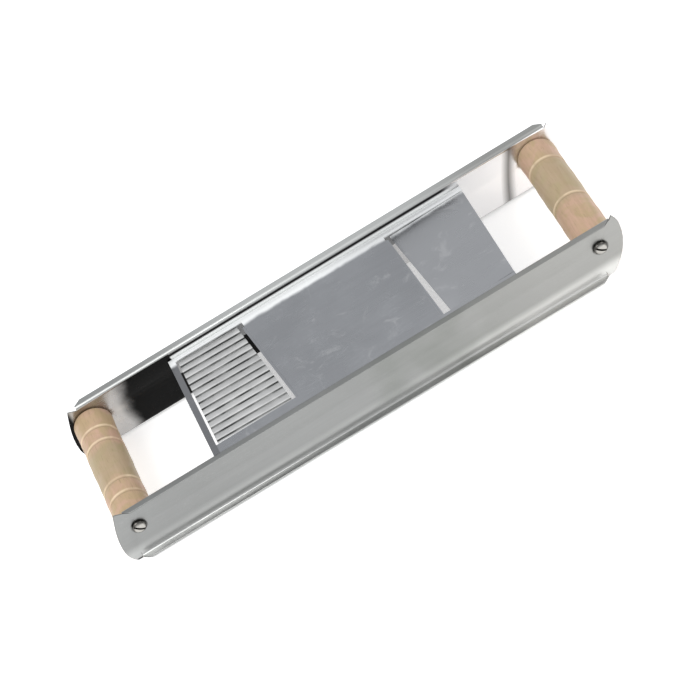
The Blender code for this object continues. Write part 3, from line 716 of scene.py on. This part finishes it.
def slot_shade():
    """Painted shade in the slots of the screws: dark, rough metal."""
    # Near-black painted shade in the slots' recesses.
    return steel("slot_shade", SLOT_SHADE, roughness=0.5, stretch=(500, 500, 500), grain=0.2, scratches=0.3,
                 patch_scale=300.0)


def wire_steel():
    """Drawn wire, studs and rods."""
    return steel("wire_steel", chosen().fittings, roughness=0.28,
                 stretch=(900, 60, 900), grain=0.25, scratches=0.4, patch_scale=120.0)


def handle_wood(name, grooves, low_zone, high_zone, shift):
    """Make turned pale wood: streaks along the handle, an olive zone, pores, a painted highlight on one
    rim of each ring and painted shade in the ring.
    """
    colours = chosen()
    material, tree, shader, place = new_material(name)
    shifted = mapped(tree, place, Location=(shift, shift, shift))
    along = mapped(tree, shifted, Scale=STREAK_STRETCH)
    streak = ramp_node(tree, noise_node(tree, along, 1.0, 5.0, 0.6, 0.4), [(0.38, 0.0), (0.62, 1.0)])
    pores = mapped(tree, shifted, Scale=PORE_STRETCH)
    pore = ramp_node(tree, noise_node(tree, pores, 1.0, 2.0, 0.5), [(0.60, 0.0), (0.70, 1.0)])
    broad = noise_node(tree, shifted, 62.0, 4.0, 0.60, 0.9)
    elsewhere = mapped(tree, shifted, Location=(3.0, 1.0, 2.0))
    patch = noise_node(tree, elsewhere, 34.0, 3.0, 0.50, 0.5)
    y = split(tree, place)[1]
    drift = plus(tree, y, times(tree, minus(tree, patch, 0.5), 0.03))
    zone = span(tree, drift, *[(end - ZONE_EDGE, end + ZONE_EDGE) for end in (low_zone, high_zone)])
    pinker = ramp_node(tree, broad, [(0.42, 0.0), (0.58, 1.0)])
    toned = mix_colour(tree, pinker, colours.wood, colours.wood_pink)
    toned = painted(tree, zone, 0.55, toned, colours.wood_olive)
    toned = painted(tree, streak, 0.30, toned, scaled(colours.wood, 0.74))
    toned = painted(tree, pore, 0.40, toned, scaled(colours.wood, 0.55))
    # Painted highlight on one rim of each ring, broken up, and painted shade inside the ring.
    lit, ring_shade = 0.0, 0.0
    for groove in grooves:
        lit = plus(tree, line_at(tree, y, groove + 0.0013, 0.0013), lit, clamp=True)
        ring_shade = plus(tree, line_at(tree, y, groove - 0.0003, 0.0011), ring_shade, clamp=True)
    broken = ramp_node(tree, noise_node(tree, shifted, 110.0, 3.0), [(0.38, 0.30), (0.58, 0.85)])
    toned = mix_colour(tree, times(tree, lit, broken), toned, colours.wood_rim_highlight)
    toned = painted(tree, ring_shade, 0.60, toned, scaled(colours.wood, 0.50))
    rough = plus(tree, 0.50, times(tree, streak, 0.14))
    height = minus(tree, times(tree, streak, 0.5), pore)
    dress(tree, shader, toned, rough, height, 0.5, PORE_HEIGHT)
    shader.inputs["Coat Weight"].default_value = 0.12
    shader.inputs["Coat Roughness"].default_value = 0.35
    return material


def left_wood():
    """Wood of the left handle, with its olive zone between the two inner rings."""
    return handle_wood("handle_wood_left", LEFT_GROOVES, LEFT_GROOVES[2], LEFT_GROOVES[1], 0.0)


def right_wood():
    """Wood of the right handle, with its olive zone between the two rings."""
    return handle_wood("handle_wood_right", RIGHT_GROOVES, RIGHT_GROOVES[1], RIGHT_GROOVES[0], 0.37)


FINISH_MAKERS = {"rail_steel": rail_steel, "deck_steel": deck_steel, "ribbed_steel": ribbed_steel,
                 "blade_steel": blade_steel, "screw_steel": screw_steel, "wire_steel": wire_steel,
                 "slot_shade": slot_shade, "handle_wood_left": left_wood, "handle_wood_right": right_wood}


def finish(name):
    """Return a finish by name, made the first time that it is asked for."""
    return bpy.data.materials.get("slicer_" + name) or named_finish(name)


def named_finish(name):
    """Make a finish and give it its own name, apart from the CAD model's materials."""
    material = FINISH_MAKERS[name]()
    material.name = "slicer_" + name
    return material


# ---------------------------------------------------------------- shapes

def body_of(node):
    """Return the name of the CAD body that holds a node."""
    return frame["nodes"][node]["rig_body"]


def centre_of(node):
    """Return the middle of a CAD node."""
    low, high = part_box(node)
    return (low + high) / 2


def tidy_shape(shape):
    """Merge doubles and turn every face outwards."""
    bmesh.ops.remove_doubles(shape, verts=shape.verts[:], dist=MERGE)
    bmesh.ops.recalc_face_normals(shape, faces=shape.faces[:])
    return shape


def mesh_from(name, shape):
    """Return a mesh made from a shape, which is used up."""
    mesh = bpy.data.meshes.new(name)
    shape.to_mesh(mesh)
    shape.free()
    return mesh


def new_object(name, data):
    """Add an object to the scene and return it."""
    item = bpy.data.objects.new(name, data)
    bpy.context.scene.collection.objects.link(item)
    return item


def add_piece(name, shape, node, finish_name, crease=35.0, slot_name=None):
    """Make the finished object for one CAD node from a shape in the row frame.

    The slot has the finish's name; slot_name is not used.
    """
    slot_name = slot_name or finish_name
    mesh = mesh_from(name, shape)
    mesh.materials.append(finish(finish_name))
    mesh.shade_smooth()
    mesh.set_sharp_from_angle(angle=math.radians(crease))
    piece = new_object(name, mesh)
    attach(piece, body_of(node))
    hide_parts(node)
    return piece


def turned(points, steps=64):
    """Return a shape turned about Z from (radius, height) points."""
    shape = bmesh.new()
    corners = [shape.verts.new((radius, 0.0, height)) for radius, height in points]
    edges = [shape.edges.new(pair) for pair in zip(corners, corners[1:])]
    bmesh.ops.spin(shape, geom=corners + edges, cent=(0, 0, 0), axis=(0, 0, 1), dvec=(0, 0, 0),
                   angle=2 * math.pi, steps=steps, use_merge=True)
    return tidy_shape(shape)


def rounded(shape, edges, radius, segments=2):
    """Round some of a shape's edges."""
    bmesh.ops.bevel(shape, geom=edges, offset=radius, offset_type="OFFSET", affect="EDGES",
                    segments=segments, profile=0.5, material=-1, clamp_overlap=True)


def slab(points, low, high, radius, segments=2):
    """Return a flat outline in X and Y given a height, with its edges rounded."""
    shape = bmesh.new()
    face = shape.faces.new([shape.verts.new((x, y, low)) for x, y in points])
    grown = bmesh.ops.extrude_face_region(shape, geom=[face])
    raised = [item for item in grown["geom"] if isinstance(item, bmesh.types.BMVert)]
    bmesh.ops.translate(shape, verts=raised, vec=(0, 0, high - low))
    bmesh.ops.recalc_face_normals(shape, faces=shape.faces[:])
    if radius:
        rounded(shape, shape.edges[:], radius, segments)
    return tidy_shape(shape)


def moved(shape, matrix):
    """Put a shape in its place."""
    bmesh.ops.transform(shape, matrix=matrix, verts=shape.verts[:])
    return shape


def combined(shape, other, operation):
    """Return a shape with another cut away from it or joined to it."""
    items = []
    for word, part in (("first", shape), ("second", other)):
        mesh = mesh_from(word, part)
        mesh.materials.append(None)
        mesh.materials.append(None)
        items.append(new_object(word, mesh))
    step = items[0].modifiers.new("step", "BOOLEAN")
    step.operation = operation
    step.solver = "EXACT"
    step.material_mode = "INDEX"
    step.object = items[1]
    bpy.context.view_layer.update()
    solved = items[0].evaluated_get(bpy.context.evaluated_depsgraph_get())
    result = bmesh.new()
    result.from_mesh(solved.to_mesh())
    for item in items:
        mesh = item.data
        bpy.data.objects.remove(item, do_unlink=True)
        bpy.data.meshes.remove(mesh)
    if not result.faces:
        raise RuntimeError(f"{operation} left nothing")
    return tidy_shape(result)


def softened(node, radius, sharp=40.0):
    """Return a copy of a CAD node with its flat faces joined and its edges rounded."""
    shape = bmesh.new()
    shape.from_mesh(frame["nodes"][node].data)
    bmesh.ops.remove_doubles(shape, verts=shape.verts[:], dist=MERGE)
    bmesh.ops.dissolve_limit(shape, angle_limit=FLAT, verts=shape.verts[:], edges=shape.edges[:])
    if radius:
        edges = [edge for edge in shape.edges
                 if edge.is_manifold and edge.calc_face_angle() > math.radians(sharp)]
        rounded(shape, edges, radius)
    if not shape.faces:
        raise RuntimeError(f"{node} gave no faces")
    return shape


# ---------------------------------------------------------------- pieces

class SLICER_OT_rails(bpy.types.Operator):
    """Make the two side rails, with soft sheet edges"""
    bl_idname = "slicer.rails"
    bl_label = "Side rails"

    def execute(self, context):
        radius = context.scene.slicer_sizes.edge_radius
        for side in ("near", "far"):
            node = f"rail_{side}"
            add_piece(f"{side}_side_rail", softened(node, radius), node, "rail_steel")
        return {"FINISHED"}


class SLICER_OT_deck(bpy.types.Operator):
    """Make the deck and the two bridges under the ramps"""
    bl_idname = "slicer.deck"
    bl_label = "Deck and bridges"

    def execute(self, context):
        radius = context.scene.slicer_sizes.edge_radius
        add_piece("cutting_deck", softened("deck", radius), "deck", "deck_steel")
        for word in WORDS:
            node = f"bridge_{word}"
            add_piece(f"{word}_side_bridge", softened(node, radius), node, "deck_steel")
        return {"FINISHED"}


class SLICER_OT_ramps(bpy.types.Operator):
    """Make the plain and the ribbed feed ramp"""
    bl_idname = "slicer.ramps"
    bl_label = "Feed ramps"

    def execute(self, context):
        radius = context.scene.slicer_sizes.edge_radius
        add_piece("plain_feed_ramp", softened("ramp_plain", radius), "ramp_plain", "deck_steel")
        add_piece("ribbed_feed_ramp", softened("ramp_ribbed", 0.0), "ramp_ribbed", "ribbed_steel", 50.0)
        return {"FINISHED"}


class SLICER_OT_blades(bpy.types.Operator):
    """Make the two ground blades"""
    bl_idname = "slicer.blades"
    bl_label = "Blades"

    def execute(self, context):
        for word in WORDS:
            node = f"blade_{word}"
            add_piece(f"{word}_side_blade", softened(node, 0.0), node, "blade_steel", 8.0)
        return {"FINISHED"}


def handle_outline(half, radius, grooves, sizes):
    """Return a turned handle's outline from one end to the other, with rings and a bore at each end."""
    depth = half - HANDLE_BORE_LENGTH
    points = [(0.0, depth), (HANDLE_BORE, depth), (HANDLE_BORE, half)]
    for i in range(HANDLE_STEPS + 1):
        y = half * math.cos(math.pi * i / HANDLE_STEPS) * END_CROWDING
        y += half * (1 - 2 * i / HANDLE_STEPS) * (1 - END_CROWDING)
        end = max(0.0, abs(y) - (half - sizes.handle_edge)) / sizes.handle_edge
        out = radius - sizes.handle_edge * (1 - math.sqrt(max(0.0, 1 - end * end)))
        for groove in grooves:
            off = abs(y - groove) / sizes.groove_width
            out -= sizes.groove_depth * max(0.0, 1 - off) ** 0.8
        wave = SLOW_WAVE * math.sin(SLOW_RATE * y + radius) + FAST_WAVE * math.sin(FAST_RATE * y)
        out -= WAVE_LIMIT - min(WAVE_LIMIT, max(-WAVE_LIMIT, wave))
        points.append((out, y))
    return points + [(HANDLE_BORE, -half), (HANDLE_BORE, -depth), (0.0, -depth)]


class SLICER_OT_handles(bpy.types.Operator):
    """Turn the two wooden handles, with their rings"""
    bl_idname = "slicer.handles"
    bl_label = "Wooden handles"

    def execute(self, context):
        sizes = context.scene.slicer_sizes
        for side, grooves in (("left", LEFT_GROOVES), ("right", RIGHT_GROOVES)):
            low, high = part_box(f"handle_{side}")
            outline = handle_outline((high.y - low.y) / 2, (high.z - low.z) / 2, grooves, sizes)
            shape = turned(outline, 72)
            place = Matrix.Translation((low + high) / 2) @ Matrix.Rotation(-math.pi / 2, 4, "X")
            add_piece(f"{side}_wooden_handle", moved(shape, place), f"handle_{side}",
                      f"handle_wood_{side}", slot_name="handle_wood")
        return {"FINISHED"}


class SLICER_OT_screws(bpy.types.Operator):
    """Make the four slotted screws"""
    bl_idname = "slicer.screws"
    bl_label = "Handle screws"

    def execute(self, context):
        width = context.scene.slicer_sizes.slot_width
        for side, turn in (("near", -1), ("far", 1)):
            for end in ("left", "right"):
                self.make_screw(side, turn, end, width)
        return {"FINISHED"}

    def make_screw(self, side, turn, end, width):
        """Make one screw with its head outwards, slotted and rounded."""
        node = f"screw_{side}_{end}"
        low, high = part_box(node)
        radius, length = (high.z - low.z) / 2, high.y - low.y
        tip = SCREW_HEAD - length
        points = [(0.0, SCREW_HEAD)]
        for i in range(1, 13):
            a = math.pi / 2 * i / 12
            height = SCREW_HEAD * (SCREW_FLAT + (1 - SCREW_FLAT) * math.cos(a))
            points.append((radius * math.sin(a), height))
        points += [(radius, SCREW_EDGE), (radius - SCREW_EDGE, 0.0), (SCREW_SHANK, 0.0),
                   (SCREW_SHANK, tip + SCREW_POINT), (0.0, tip)]
        shape = turned(points, 48)
        corners = [(-SLOT_HALF_LENGTH, -width / 2), (SLOT_HALF_LENGTH, -width / 2),
                   (SLOT_HALF_LENGTH, width / 2), (-SLOT_HALF_LENGTH, width / 2)]
        bar = slab(corners, SCREW_HEAD - SLOT_DEPTH, SCREW_HEAD + SLOT_CLEARANCE, 0.0)
        bar = moved(bar, Matrix.Rotation(SLOT_TURNS[side], 4, "Z"))
        for face in bar.faces:
            face.material_index = 1
        shape = combined(shape, bar, "DIFFERENCE")
        seat = low.y + SCREW_HEAD if turn < 0 else high.y - SCREW_HEAD
        middle = (low + high) / 2
        upright = Matrix.Rotation(-turn * math.pi / 2, 4, "X")
        place = Matrix.Translation((middle.x, seat, middle.z)) @ upright
        screw = add_piece(f"{side}_{end}_screw", moved(shape, place), node, "screw_steel", 30.0)
        screw.data.materials.append(finish("slot_shade"))


class SLICER_OT_adjusters(bpy.types.Operator):
    """Make the rods, studs, springs and wing nuts under the ramps"""
    bl_idname = "slicer.adjusters"
    bl_label = "Ramp adjusters"

    def execute(self, context):
        sizes = context.scene.slicer_sizes
        for word in WORDS:
            self.make_rod(word)
            self.make_stud(word, sizes.thread_pitch)
            self.make_spring(word, sizes.spring_turns)
            self.make_nut(word)
        return {"FINISHED"}

    def make_rod(self, word):
        """Make a ramp's rod with chamfered ends."""
        node = f"pivot_rod_{word}"
        low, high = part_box(node)
        radius, half = (high.z - low.z) / 2, (high.y - low.y) / 2
        points = [(0.0, half), (radius - ROD_EDGE, half), (radius, half - ROD_EDGE),
                  (radius, ROD_EDGE - half), (radius - ROD_EDGE, -half), (0.0, -half)]
        place = Matrix.Translation((low + high) / 2) @ Matrix.Rotation(-math.pi / 2, 4, "X")
        add_piece(f"{word}_side_rod", moved(turned(points, 32), place), node, "wire_steel")

    def make_stud(self, word, pitch):
        """Make a ramp's threaded stud with its welded head."""
        node = f"stud_{word}"
        low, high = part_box(node)
        radius, root = (high.x - low.x) / 2, STUD_SHANK - THREAD_DEPTH
        top, bottom = high.z - STUD_HEAD * 1.3, low.z + STUD_POINT_LENGTH
        points = [(0.0, high.z), (radius - STUD_EDGE, high.z), (radius, high.z - STUD_EDGE),
                  (radius, high.z - STUD_HEAD), (root, high.z - STUD_HEAD)]
        for i in range(int((top - bottom) / pitch)):
            height = top - i * pitch
            points += [(root, height - 0.1 * pitch), (STUD_SHANK, height - 0.45 * pitch),
                       (STUD_SHANK, height - 0.6 * pitch)]
        points += [(root, bottom), (STUD_SHANK - STUD_POINT, low.z), (0.0, low.z)]
        middle = (low + high) / 2
        place = Matrix.Translation((middle.x, middle.y, 0.0))
        add_piece(f"{word}_side_stud", moved(turned(points, 36), place), node, "wire_steel")

    def make_spring(self, word, turns):
        """Wind a compression spring with a closed turn at each end."""
        node = f"spring_{word}"
        low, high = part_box(node)
        wire = SPRING_WIRE
        radius, height = (high.x - low.x) / 2 - wire, high.z - low.z - 2 * wire
        shape = bmesh.new()
        start = Matrix.Translation((radius, 0.0, low.z + wire)) @ Matrix.Rotation(math.pi / 2, 4, "X")
        ring = bmesh.ops.create_circle(shape, cap_ends=False, segments=10, radius=wire, matrix=start)
        geom = ring["verts"] + shape.edges[:]
        for count, rise in ((1, CLOSED_TURN), (turns, height - 2 * CLOSED_TURN), (1, CLOSED_TURN)):
            steps = STEPS_PER_TURN * count
            made = bmesh.ops.spin(shape, geom=geom, cent=(0, 0, 0), axis=(0, 0, 1),
                                  dvec=(0, 0, rise / steps), angle=2 * math.pi * count, steps=steps,
                                  use_merge=False)
            geom = made["geom_last"]
        bmesh.ops.remove_doubles(shape, verts=shape.verts[:], dist=MERGE)
        bmesh.ops.holes_fill(shape, edges=shape.edges[:], sides=0)
        bmesh.ops.recalc_face_normals(shape, faces=shape.faces[:])
        middle = (low + high) / 2
        place = Matrix.Translation((middle.x, middle.y, 0.0))
        piece = add_piece(f"{word}_side_spring", moved(shape, place), node, "wire_steel", 60.0)
        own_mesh(piece)

    def make_nut(self, word):
        """Make a wing nut: a turned hub with two rounded wings."""
        node = f"wing_nut_{word}"
        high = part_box(node)[1]
        inner, outer, top, edge = NUT_BORE, NUT_HUB, NUT_TOP, NUT_BORE_EDGE
        hub_points = [(inner, top - edge), (inner + edge, top), (outer - NUT_EDGE, top),
                      (outer, top - NUT_EDGE), (outer + NUT_EDGE, 2 * NUT_EDGE - top),
                      (outer - NUT_EDGE / 2, -top), (inner + edge, -top), (inner, edge - top),
                      (inner, top - edge)]
        shape = turned(hub_points, 48)
        for turn in (0.0, math.pi):
            wing = [(WING_ROOT, top - 0.0014), (WING_ROOT, 0.0010 - top), (0.0062, -top - WING_DROP)]
            for i in range(WING_STEPS + 1):
                a = math.radians(-85 + 170 * i / WING_STEPS)
                wing.append((WING_REACH - WING_RADIUS + WING_RADIUS * math.cos(a),
                             WING_RADIUS * math.sin(a) - top - WING_DROP))
            plate = slab(wing, -WING_HALF_THICKNESS, WING_HALF_THICKNESS, WING_EDGE, 3)
            upright = Matrix.Rotation(turn, 4, "Z") @ Matrix.Rotation(math.pi / 2, 4, "X")
            shape = combined(shape, moved(plate, upright), "UNION")
        middle = centre_of(node)
        place = Matrix.Translation((middle.x, middle.y, high.z - top)) @ Matrix.Rotation(NUT_TURN, 4, "Z")
        add_piece(f"{word}_side_wing_nut", moved(shape, place), node, "screw_steel", 40.0)


# ---------------------------------------------------------------- studio

def aim(studio):
    """Return the camera's place and turn from its angles."""
    az, el, roll = studio.azimuth, studio.elevation, studio.roll
    forward = Vector((math.sin(az) * math.cos(el), math.cos(az) * math.cos(el), -math.sin(el)))
    level = Vector((math.cos(az), -math.sin(az), 0.0))
    upright = level.cross(forward)
    right = math.cos(roll) * level + math.sin(roll) * upright
    up = -math.sin(roll) * level + math.cos(roll) * upright
    target = Vector((0.0, 0.0, studio.aim_height))
    place = target - forward * studio.distance + right * studio.aim_right + up * studio.aim_up
    turn = Matrix((right, up, -forward)).transposed().to_4x4()
    return Matrix.Translation(place) @ turn


def soft_light(name, power, size, place, target):
    """Add one large soft light that faces a point."""
    data = bpy.data.lights.new(name, "AREA")
    data.shape = "RECTANGLE"
    data.energy = power
    data.size, data.size_y = size
    light = new_object(name, data)
    light.location = place
    light.rotation_euler = (Vector(target) - Vector(place)).to_track_quat("-Z", "Y").to_euler()


class SLICER_OT_studio(bpy.types.Operator):
    """Set up the floor, the soft lights and the camera"""
    bl_idname = "slicer.studio"
    bl_label = "Studio"

    def execute(self, context):
        studio = context.scene.slicer_studio
        self.make_floor(studio)
        world = bpy.data.worlds.new("studio_sky")
        world.use_nodes = True
        sky = world.node_tree.nodes["Background"]
        sky.inputs["Color"].default_value = (0.97, 0.985, 1.0, 1.0)
        sky.inputs["Strength"].default_value = studio.sky
        context.scene.world = world
        soft_light("key_light", studio.key, (1.6, 1.2), (-1.1, -0.6, 1.7), (0.0, 0.0, 0.0))
        soft_light("fill_light", studio.fill, (1.4, 1.0), (1.7, -0.2, 1.5), (0.0, 0.0, 0.0))
        data = bpy.data.cameras.new("camera")
        data.lens = studio.focal_length
        data.sensor_width = 36.0
        data.clip_start, data.clip_end = 0.05, 20.0
        camera = new_object("camera", data)
        camera.matrix_world = aim(studio)
        context.scene.camera = camera
        context.scene.view_settings.view_transform = "Standard"
        return {"FINISHED"}

    def make_floor(self, studio):
        """Lay a plain pale floor under the slicer."""
        shape = bmesh.new()
        bmesh.ops.create_grid(shape, x_segments=1, y_segments=1, size=4.0)
        mesh = mesh_from("floor", shape)
        floor = new_object("floor", mesh)
        material, tree, shader, place = new_material("floor_paint")
        tint = noise_node(tree, place, 3.0, 2.0)
        toned = painted(tree, tint, 0.1, (0.93, 0.93, 0.93), (0.90, 0.90, 0.90))
        tree.links.new(toned, shader.inputs["Base Color"])
        shader.inputs["Roughness"].default_value = 0.9
        shader.inputs["Specular IOR Level"].default_value = 0.1
        shader.inputs["Emission Color"].default_value = (1.0, 1.0, 1.0, 1.0)
        shader.inputs["Emission Strength"].default_value = studio.floor_glow
        mesh.materials.append(material)
        floor.location.z = -0.0002


class SLICER_PT_panel(bpy.types.Panel):
    """Lists the slicer's pieces and its studio"""
    bl_idname = "SLICER_PT_panel"
    bl_label = "Vegetable slicer"
    bl_space_type = "VIEW_3D"
    bl_region_type = "UI"
    bl_category = "Slicer"

    def draw(self, context):
        for operator in OPERATORS:
            self.layout.operator(operator.bl_idname)
        for words in ("slicer_sizes", "slicer_colours", "slicer_studio"):
            group = getattr(context.scene, words)
            column = self.layout.column()
            for key in group.__annotations__:
                column.prop(group, key)


OPERATORS = (SLICER_OT_rails, SLICER_OT_deck, SLICER_OT_ramps, SLICER_OT_blades, SLICER_OT_handles,
             SLICER_OT_screws, SLICER_OT_adjusters, SLICER_OT_studio)
CLASSES = (SlicerSizes, SlicerColours, SlicerStudio, *OPERATORS, SLICER_PT_panel)


def register():
    """Add the classes and their settings."""
    for item in CLASSES:
        bpy.utils.register_class(item)
    bpy.types.Scene.slicer_sizes = PointerProperty(type=SlicerSizes)
    bpy.types.Scene.slicer_colours = PointerProperty(type=SlicerColours)
    bpy.types.Scene.slicer_studio = PointerProperty(type=SlicerStudio)


def unregister():
    """Take the classes and their settings away."""
    del bpy.types.Scene.slicer_studio
    del bpy.types.Scene.slicer_colours
    del bpy.types.Scene.slicer_sizes
    for item in reversed(CLASSES):
        bpy.utils.unregister_class(item)


def main():
    """Build every piece and the studio."""
    register()
    bpy.ops.slicer.rails()
    bpy.ops.slicer.deck()
    bpy.ops.slicer.ramps()
    bpy.ops.slicer.blades()
    bpy.ops.slicer.handles()
    bpy.ops.slicer.screws()
    bpy.ops.slicer.adjusters()
    bpy.ops.slicer.studio()


if __name__ == "__main__":
    main()
